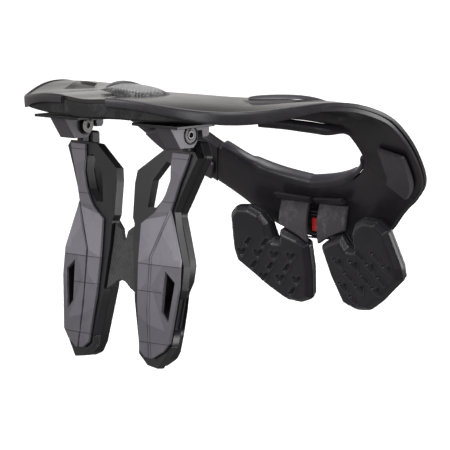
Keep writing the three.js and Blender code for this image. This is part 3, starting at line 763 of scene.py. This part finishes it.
# painted light: below this share of the height the pad is painted dark as shade, above it pale as a
# highlight
PAD_PAINTED_SHADE_TOP = 0.52
PAD_PAINTED_SHADE_RUN = 0.12
rear = ring_copy("rear_pad", "rear_pad_skin", 80)
rear_low, rear_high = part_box("rear_pad")
for corner in rear.data.vertices:
    rise = max(0.0, (corner.co.z - rear_low[2]) / (rear_high[2] - rear_low[2]))
    corner.co.z = rear_low[2] + rise ** REAR_CROWN * (rear_high[2] - rear_low[2])
    corner.co.x *= REAR_WIDTH
    corner.co.z -= REAR_SLOPE * (corner.co.x + REAR_LEVEL_AT)
round_edges(rear, 0.8, 3)
# painted light: the crown is painted pale as a highlight and the rim dark as shade, by height
tone = rear.data.attributes.new("tone", "FLOAT", "POINT")
for corner in rear.data.vertices:
    ground = rear_low[2] - REAR_SLOPE * (corner.co.x + REAR_LEVEL_AT)
    rise = (corner.co.z - ground) / (rear_high[2] - rear_low[2])
    tone.data[corner.index].value = ease((rise - PAD_PAINTED_SHADE_TOP) / PAD_PAINTED_SHADE_RUN)
smooth(rear, 40)
dress(rear, pad_textile, "pad_textile", "brace", "rear_pad", fill=0.8)

# %% [markdown]
# ## The back legs
# Each leg is a sandwich: a grey cover outside, a black frame behind it, and a foam pad against
# the back. The cover is moulded with a low ridge from its waist to its tip, so its face breaks
# into facets, and thin grooves cross it. The work is done on the right leg, in the leg's own
# frame, and the left leg is its mirror image.

# %% The leg's own frame
HINGE = Vector((51, -107, -1.2))
LEG_WIDTH = 60
LEG_LENGTH = 160
LEG_TILT = 0.1
LEG_YAW = 0.066
LEG_TURN = Matrix.Rotation(-LEG_TILT, 3, "X") @ Matrix.Rotation(LEG_YAW, 3, "Z")
LEG_BACK = LEG_TURN @ Vector((0, -1, 0))


def leg_point(across, down, deep=0.0):
    """A place on the right leg: shares across and down, and millimetres behind the cover's face."""
    flat = Vector((across * LEG_WIDTH, deep, -down * LEG_LENGTH))
    return (HINGE + LEG_TURN @ flat) * MM


def on_leg(place):
    """The shares across and down and the depth of a place in the row frame."""
    flat = LEG_TURN.transposed() @ (place / MM - HINGE)
    return flat.x / LEG_WIDTH, -flat.z / LEG_LENGTH, flat.y


def leg_cut(a, b):
    """Cut the selected faces along the line between two places on the leg."""
    along = leg_point(*b) - leg_point(*a)
    bpy.ops.mesh.bisect(plane_co=leg_point(*a), plane_no=along.cross(LEG_BACK).normalized())


def leg_cut_all(a, b):
    """The same cut through the whole of the piece in edit mode."""
    bpy.ops.mesh.select_all(action="SELECT")
    leg_cut(a, b)


def on_face(face, deep=0.05):
    """True for the faces of the cover that look back."""
    return face.normal.dot(LEG_BACK) > 0.9 and on_leg(face.calc_center_median())[2] < deep


# %% [markdown]
# The ridge is a line of corners across the flat cover, drawn out a little. Everything between the
# ridge and the outline follows, and because the outline narrows and widens, the faces tilt by
# different amounts and catch the light differently, as they do on the real leg.

# %% The leg cover
RIDGE = [(-0.112, 0.325), (-0.335, 0.525), (-0.322, 0.75), (-0.262, 0.955)]
RIDGE_RISE = [0.2, 1.7, 1.5, 0.5]
STRIPE = 0.016
STRIPE_RISE = 0.45
GROOVES = [
    # share down the leg, from share across, to share across
    (0.104, -0.2, 0.2), (0.290, -0.4, 0.0), (0.558, -0.6, 0.12), (0.672, -0.6, -0.15),
    (0.887, -0.6, 0.1),
]
GROOVE_HALF = 0.0016
GROOVE_DEPTH = 0.45
BENDS = (0.39, 0.53, 0.65, 0.75, 0.92)
FACE_DEPTH = 0.6
OUTLINE_OUTER = [(-0.115, 0.325), (-0.060, 0.380), (0.085, 0.530), (0.090, 0.650),
                 (0.010, 0.880), (-0.080, 0.920), (-0.235, 0.955), (-0.262, 0.955)]
OUTLINE_INNER = [(-0.115, 0.325), (-0.300, 0.335), (-0.355, 0.340), (-0.540, 0.390),
                 (-0.545, 0.550), (-0.520, 0.715), (-0.440, 0.925), (-0.350, 0.950),
                 (-0.262, 0.955)]


def across_at(rows, down):
    """Where a line of places on the leg stands across, at a share down."""
    for (x0, z0), (x1, z1) in zip(rows, rows[1:]):
        if z0 <= down <= z1:
            return x0 + (x1 - x0) * (down - z0) / max(z1 - z0, 1e-6)
    return rows[-1][0] if down > rows[-1][1] else rows[0][0]


def ridge_rise(across, down):
    """How far the cover stands out over its flat plate here."""
    if not RIDGE[0][1] < down < RIDGE[-1][1]:
        return 0.0
    centre = across_at(RIDGE, down)
    tall = across_at(list(zip(RIDGE_RISE, (row[1] for row in RIDGE))), down)
    rim = across_at(OUTLINE_OUTER if across > centre else OUTLINE_INNER, down)
    reach = abs(rim - centre)
    return tall * max(0.0, 1 - abs(across - centre) / max(reach, 0.02))


# painted light and shade: each facet of the cover is painted lighter or darker for how it would
# catch the light
PAINTED_FACET_LIGHT = [
    # tone from 0 to 1, painted from shade to light, and the corners of its facet as shares across
    # and down the leg
    (0.95, [(-0.56, 0.38), (-0.15, 0.345), (-0.335, 0.525), (-0.56, 0.558)]),
    (0.62, [(-0.56, 0.558), (-0.335, 0.525), (-0.335, 0.558), (-0.40, 0.64), (-0.56, 0.70)]),
    (1.0, [(-0.115, 0.32), (0.11, 0.53), (0.11, 0.558), (-0.205, 0.425)]),
    (0.78, [(-0.205, 0.425), (0.11, 0.558), (-0.335, 0.558), (-0.335, 0.525)]),
    (0.5, [(-0.335, 0.558), (-0.16, 0.558), (-0.30, 0.65), (-0.40, 0.64)]),
    (0.3, [(-0.16, 0.558), (0.11, 0.558), (0.11, 0.70), (-0.30, 0.65)]),
    (0.36, [(-0.56, 0.70), (-0.40, 0.64), (-0.31, 0.81), (-0.56, 0.76)]),
    (0.42, [(-0.40, 0.64), (-0.30, 0.65), (-0.07, 0.83), (-0.31, 0.81)]),
    (0.6, [(-0.3, 0.06), (0.2, 0.06), (0.2, 0.2), (-0.3, 0.13)]),
    (0.45, [(-0.3, 0.13), (0.2, 0.2), (-0.115, 0.33), (-0.56, 0.345)]),
]
TONE_REST = 0.2
TONE_LOW = 0.185
# painted shadow: the dark tone beside the stripe and in the grooves
PAINTED_SHADOW_TONE = 0.03
LINE_HALF = 0.009
print("facets with a tone of their own", len(PAINTED_FACET_LIGHT))

# %% The cover is cut along its facets, ridge and grooves, and drawn out
cover = plate_copy("leg_cover_right", "leg_cover_skin_right", 0.55)
edit(cover)
for _, rows in PAINTED_FACET_LIGHT:
    xs, zs = [r[0] for r in rows], [r[1] for r in rows]

    def near_facet(face):
        """True for the cover's faces round this facet."""
        x, z, _ = on_leg(face.calc_center_median())
        wide = min(xs) - 0.1 < x < max(xs) + 0.1 and min(zs) - 0.08 < z < max(zs) + 0.08
        return wide and on_face(face)

    for a, b in zip(rows, rows[1:] + rows[:1]):
        pick(cover, near_facet)
        leg_cut(a, b)
for a, b in zip(RIDGE, RIDGE[1:]):
    for shift in (-STRIPE, 0, STRIPE):
        leg_cut_all((a[0] + shift, a[1]), (b[0] + shift, b[1]))
    leg_cut_all((a[0] - STRIPE - LINE_HALF, a[1]), (b[0] - STRIPE - LINE_HALF, b[1]))
for down, _, _ in GROOVES:
    for edge in (-GROOVE_HALF, GROOVE_HALF):
        leg_cut_all((0, down + edge), (0.1, down + edge))
for down in BENDS:
    leg_cut_all((0, down), (0.1, down))
mesh = bmesh.from_edit_mesh(cover.data)
for corner in mesh.verts:
    x, z, deep = on_leg(corner.co)
    if deep < FACE_DEPTH:
        corner.co += LEG_BACK * ridge_rise(x, z) * MM
bmesh.update_edit_mesh(cover.data)
for down, low, high in GROOVES:
    def in_groove(face):
        """True for the strip of faces that this groove takes."""
        x, z, _ = on_leg(face.calc_center_median())
        return abs(z - down) < GROOVE_HALF and low < x < high and face.normal.dot(LEG_BACK) > 0.9

    pick(cover, in_groove)
    bpy.ops.mesh.extrude_region_move(
        TRANSFORM_OT_translate={"value": -LEG_BACK * GROOVE_DEPTH * MM})


def in_stripe(face):
    """True for the narrow raised stripe along the ridge."""
    x, z, _ = on_leg(face.calc_center_median())
    centre = across_at(RIDGE, z)
    along = abs(x - centre) < STRIPE and RIDGE[0][1] + 0.01 < z < RIDGE[-1][1]
    groove = any(abs(z - g[0]) < GROOVE_HALF * 1.2 for g in GROOVES)
    return along and not groove and face.normal.dot(LEG_BACK) > 0.85


print("stripe faces", pick(cover, in_stripe))
bpy.ops.mesh.extrude_region_move(TRANSFORM_OT_translate={"value": LEG_BACK * STRIPE_RISE * MM})
finish_edit()

# %% Painted light and shade for each facet, painted shadow along the ridge line and grooves, and the left cover
tone = cover.data.attributes.new("tone", "FLOAT", "FACE")
for face in cover.data.polygons:
    x, z, _ = on_leg(face.center)
    found = [value for value, rows in PAINTED_FACET_LIGHT if inside(rows, x, z)]
    value = TONE_LOW + (1 - TONE_LOW) * (found[0] if found else TONE_REST)
    # painted shadow: a dark line beside the stripe, and painted shade in the grooves
    line = abs(x - across_at(RIDGE, z) + STRIPE) < LINE_HALF and RIDGE[0][1] < z < RIDGE[-1][1]
    cross = any(abs(z - down) < GROOVE_HALF and low < x < high for down, low, high in GROOVES)
    tone.data[face.index].value = PAINTED_SHADOW_TONE if line or cross else value
smooth(cover, 4)
cover_left = mirror_copy(cover, "leg_cover_skin_left")
dress(cover, cover_satin_painted_shading, "leg_cover_plastic", "legs", "leg_cover_right")
dress(cover_left, cover_satin_painted_shading, "leg_cover_plastic", "legs", "leg_cover_left")

# %% [markdown]
# The frame, the boot and the bracket are hard mouldings, so their edges are only broken. The pad
# behind is foam with a wide soft edge. The frame's inner arm is drawn in, and beside the slot the
# frame and the pad are notched.

# %% Frame, boot, pad and bracket
LEG_PARTS = [
    # name of the node pair, rounding, its segments, finish, slot, body, fill of a padded piece
    ("leg_frame", 0.8, 3, leg_satin, "frame_plastic", "legs", None),
    ("leg_boot", 0.4, 2, boot_gloss, "boot_plastic", "legs", None),
    ("leg_pad", 1.9, 4, leg_foam_painted_shade, "foam", "legs", 0.95),
    ("leg_bracket", 0.45, 2, bracket_satin_painted_light, "frame_plastic", "brace", None),
    ("hinge_bolt", 0.3, 2, bolt_steel, "steel", "brace", None),
    ("flange_plate", 0.4, 2, frame_satin, "frame_plastic", "brace", None),
    ("flange_screw_1", 0.4, 2, bolt_steel, "steel", "brace", None),
    ("flange_screw_2", 0.4, 2, bolt_steel, "steel", "brace", None),
]
ARM_LINE = -0.665
ARM_SHARE = 0.35
ARM_FOOT = 0.6
NOTCH = (0.69, 0.82)
NOTCH_DEPTHS = {"leg_pad": 6.0, "leg_frame": 1.8}
SMOOTH_ALREADY = ("leg_bracket", "leg_boot")


def narrow_arm(piece):
    """The inner arm of the frame is drawn in a little over the engineering solid's."""
    for corner in piece.data.vertices:
        across, down, _ = on_leg(corner.co)
        if across < ARM_LINE and down < ARM_FOOT:
            shift = (ARM_LINE - across) * (1 - ARM_SHARE) * LEG_WIDTH
            corner.co += LEG_TURN @ Vector((shift, 0, 0)) * MM


def notch_side(piece, depth):
    """The outer side is cut away over a short length beside the slot."""
    edit(piece)
    for down in NOTCH:
        leg_cut_all((0, down), (0.1, down))
    outward = LEG_TURN @ Vector((1, 0, 0))

    def on_side(face):
        """True for the outer side between the two cuts."""
        _, down, _ = on_leg(face.calc_center_median())
        return NOTCH[0] < down < NOTCH[1] and face.normal.dot(outward) > 0.6

    print("notch faces", pick(piece, on_side))
    bpy.ops.mesh.extrude_region_move(TRANSFORM_OT_translate={"value": -outward * depth * MM})
    finish_edit()


for node, edge, steps, finish, slot, body, fill in LEG_PARTS:
    right = plate_copy(f"{node}_right", f"{node}_skin_right", edge, steps)
    if node == "leg_frame":
        narrow_arm(right)
    if node in NOTCH_DEPTHS:
        notch_side(right, NOTCH_DEPTHS[node])
    if node not in SMOOTH_ALREADY:
        smooth(right, 30)
    left = mirror_copy(right, f"{node}_skin_left")
    for part, side in ((right, "right"), (left, "left")):
        dress(part, finish, slot, body, f"{node}_{side}", fill=fill)

# %% [markdown]
# A thin raised ring goes round each bolt head, on both faces of its bracket. It is a torus turned
# to lie in the bracket's face, and both rings of a bracket are joined into one piece.

# %% The rings round the bolt heads
RING_RADIUS = 5.9
RING_TUBE = 0.7
for side, sign in (("right", 1), ("left", -1)):
    low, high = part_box(f"hinge_bolt_{side}")
    plate_low, plate_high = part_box(f"leg_bracket_{side}")
    centre = (Vector(low) + Vector(high)) / 2
    rings = []
    for x in (plate_low[0], plate_high[0]):
        bpy.ops.object.select_all(action="DESELECT")
        bpy.ops.mesh.primitive_torus_add(
            location=(x, centre.y, centre.z), rotation=(0, math.radians(90), 0),
            major_radius=RING_RADIUS * MM, minor_radius=RING_TUBE * MM,
            major_segments=40, minor_segments=10)
        rings.append(bpy.context.object)
    only(*rings)
    bpy.ops.object.join()
    bpy.ops.object.transform_apply(location=True, rotation=True, scale=True)
    ring = bpy.context.object
    ring.name = f"bolt_ring_{side}"
    smooth(ring, 60)
    dress(ring, leg_satin, "frame_plastic", "brace")

# %% The web between the legs
web = plate_copy("leg_web", "leg_web_skin", 0.8, 3)
smooth(web, 30)
dress(web, web_rubber, "web_rubber", "legs", "leg_web")

# %% [markdown]
# ## The chest pads
# These are pressed from one slab of closed-cell foam: a crowned face, broad soft edges, and rows
# of small pressed-in marks that let air through. The slab is remeshed to an even skin first, and
# the marks are then pushed in, corner by corner, with soft sides.

# %% The pad's own frame and the pattern of marks
PAD_CORNER = Vector((5, 75.5, -98))
PAD_WIDTH = 77
PAD_HEIGHT = 77
PAD_LEAN = 0.333
PAD_YAW = 0.028
PAD_TURN = Matrix.Rotation(PAD_LEAN, 3, "X") @ Matrix.Rotation(-PAD_YAW, 3, "Z")
PAD_OUTLINE = [
    (0.012, -0.012), (0.117, 0.055), (0.325, 0.128), (0.375, 0.010), (0.440, 0.010),
    (0.460, 0.170), (0.530, 0.275), (0.660, 0.335), (0.820, 0.325), (0.925, 0.235),
    (0.995, -0.130), (0.980, -0.260), (0.820, -0.380), (0.640, -0.520), (0.470, -0.625),
    (0.290, -0.645), (0.130, -0.590), (0.050, -0.300),
]
MARK_STEP = (16.0, 9.4)
MARK_LENGTH = 6.4
MARK_RADIUS = 1.3
MARK_DEPTH = 1.9
MARK_MARGIN = 6.0
MARK_ROWS = 7
MARKS_IN_ROW = 6
FIRST_MARK = (9, -2)
MARK_SLANT = 0.75
MARK_FOOT = (0.8, 4.0)
MARK_LIP = 0.35
CORNER_ROUND = 5.0
EDGE_FALL = 3.2
EDGE_RUN = 5.5
EDGE_POWER = 1.3
PRESSED_DEPTH = 3.5
MARKED_DEPTH = 1.2
VOXEL = 0.5


def on_pad(place):
    """Millimetres across and up the right pad, and behind its face."""
    flat = PAD_TURN.transposed() @ (place / MM - PAD_CORNER)
    return flat.x, flat.z, flat.y


def gap_to(segment, x, z):
    """Distance from a place to a short line."""
    (x0, z0), (x1, z1) = segment
    dx, dz = x1 - x0, z1 - z0
    share = max(0.0, min(1.0, ((x - x0) * dx + (z - z0) * dz) / (dx * dx + dz * dz)))
    return math.hypot(x - x0 - share * dx, z - z0 - share * dz)


def rim_distance(x, z):
    """Distance to the pad's outline, negative outside it."""
    rows = [(a * PAD_WIDTH, b * PAD_HEIGHT) for a, b in PAD_OUTLINE]
    near = min(gap_to((a, b), x, z) for a, b in zip(rows, rows[1:] + rows[:1]))
    return near if inside(rows, x, z) else -near


def pad_marks():
    """Rows of slanted strokes. Every second one has a short foot, so it reads as a chevron."""
    strokes = []
    for row in range(MARK_ROWS):
        for step in range(MARKS_IN_ROW):
            x = FIRST_MARK[0] + step * MARK_STEP[0] + (row % 2) * MARK_STEP[0] / 2
            z = FIRST_MARK[1] - row * MARK_STEP[1]
            if rim_distance(x, z) < MARK_MARGIN:
                continue
            half = MARK_LENGTH / 2
            dx, dz = half * math.cos(MARK_SLANT), half * math.sin(MARK_SLANT)
            strokes.append(((x - dx, z + dz), (x + dx, z - dz)))
            if row % 2:
                foot = (x + dx + MARK_FOOT[0], z - dz + MARK_FOOT[1])
                strokes.append(((x + dx, z - dz), foot))
    return strokes


MARKS = pad_marks()
print("strokes in a pad", len(MARKS))

# %% One pad, remeshed, crowned and pressed
pad = welded_copy("chest_pad_right", "chest_pad_skin_right")
edit(pad)
bpy.ops.mesh.dissolve_limited(angle_limit=FLAT)


def across_slab(edge):
    """True for the edges that run through the slab from face to back."""
    along = (edge.verts[1].co - edge.verts[0].co).normalized()
    return abs(along.dot(PAD_TURN @ Vector((0, 1, 0)))) > 0.9 and edge.calc_length() > 2 * MM


print("corner edges", pick(pad, across_slab, "EDGE"))
bpy.ops.mesh.bevel(offset=CORNER_ROUND * MM, segments=4, clamp_overlap=True)
finish_edit()
apply(pad, "REMESH", mode="VOXEL", voxel_size=VOXEL * MM)
apply(pad, "SMOOTH", factor=0.5, iterations=6)
for corner in pad.data.vertices:
    x, z, deep = on_pad(corner.co)
    margin = rim_distance(x, z)
    fall = EDGE_FALL * (1 - ease((margin + 0.3) / EDGE_RUN)) ** EDGE_POWER
    push = fall if deep < PRESSED_DEPTH else 0.0
    if deep < MARKED_DEPTH and margin > 3:
        near = min(gap_to(mark, x, z) for mark in MARKS)
        push += MARK_DEPTH * (1 - ease((near - MARK_RADIUS * 0.45) / MARK_RADIUS))
        push -= MARK_LIP * ease((MARK_RADIUS * 2.6 - near) / MARK_RADIUS)
    corner.co += PAD_TURN @ Vector((0, push, 0)) * MM
smooth(pad, 60)
pad_left = mirror_copy(pad, "chest_pad_skin_left")
dress(pad, pad_foam, "foam", "brace", "chest_pad_right", fill=0.95)
dress(pad_left, pad_foam, "foam", "brace", "chest_pad_left", fill=0.95)

# %% [markdown]
# ## Plates, straps and the latch
# The small hardware of the front. The straps are flat rubber, and stay as the closed brace holds
# them. The red lever releases the front.

# %% Front hardware
FRONT_PARTS = [
    # name of the node pair, rounding, its segments, finish, slot, body
    ("chest_plate", 0.6, 3, frame_satin, "frame_plastic", "brace"),
    ("strap_bracket", 0.6, 3, inner_satin_painted_light, "frame_plastic", "brace"),
    ("strap", 0.7, 3, strap_rubber, "strap_rubber", "brace"),
]
SHELF_SHARE = 0.45
STRAP_BOW = 2.2
STRAP_LIFT = 3.6
STRAP_STEPS = 8


def thin_shelf(piece):
    """The shelf over a strap is thin: its top comes down and its foot stays."""
    heights = [corner.co.z for corner in piece.data.vertices]
    foot = min(heights)
    for corner in piece.data.vertices:
        corner.co.z = foot + (corner.co.z - foot) * SHELF_SHARE


def bow_strap(piece):
    """The rubber bows out between its two ends."""
    heights = [corner.co.z for corner in piece.data.vertices]
    low, high = min(heights), max(heights)
    edit(piece)
    for i in range(1, STRAP_STEPS):
        height = low + (high - low) * i / STRAP_STEPS
        bpy.ops.mesh.select_all(action="SELECT")
        bpy.ops.mesh.bisect(plane_co=(0, 0, height), plane_no=(0, 0, 1))
    finish_edit()
    for corner in piece.data.vertices:
        share = (corner.co.z - low) / (high - low)
        corner.co.y -= STRAP_BOW * MM * math.sin(math.pi * share)
        corner.co.z += STRAP_LIFT * MM * share


for node, edge, steps, finish, slot, body in FRONT_PARTS:
    for side in ("right", "left"):
        part = plate_copy(f"{node}_{side}", f"{node}_skin_{side}", edge, steps)
        if node == "strap_bracket":
            thin_shelf(part)
        if node == "strap":
            bow_strap(part)
        smooth(part, 30)
        dress(part, finish, slot, body, f"{node}_{side}")

# %% [markdown]
# The latch is a small housing with a red lever in front of its middle. Four fine ribs cross the
# housing. Each is a bar drawn to size, and they are joined and their edges broken together.

# %% The latch
RIB_HEIGHTS = (-92.6, -90.2, -76.2, -74.0)
RIB_FRONT = 80.4
RIB_SIZE = (19, 2.4, 0.9)
housing = plate_copy("latch_housing", "latch_housing_skin", 0.3, 2)
smooth(housing, 30)
dress(housing, frame_satin, "frame_plastic", "brace", "latch_housing")

bpy.ops.object.select_all(action="DESELECT")
ribs = []
for height in RIB_HEIGHTS:
    bpy.ops.mesh.primitive_cube_add(size=1, location=(0, RIB_FRONT * MM, height * MM))
    bpy.context.object.scale = [side * MM for side in RIB_SIZE]
    ribs.append(bpy.context.object)
only(*ribs)
bpy.ops.object.join()
bpy.ops.object.transform_apply(location=True, rotation=True, scale=True)
rib_piece = bpy.context.object
rib_piece.name = "latch_ribs"
round_edges(rib_piece, 0.25, 2)
dress(rib_piece, frame_satin, "frame_plastic", "brace")

lever = plate_copy("latch_lever", "latch_lever_skin", 0.3, 2)
smooth(lever, 30)
dress(lever, lever_red, "lever_plastic", "lever", "latch_lever")
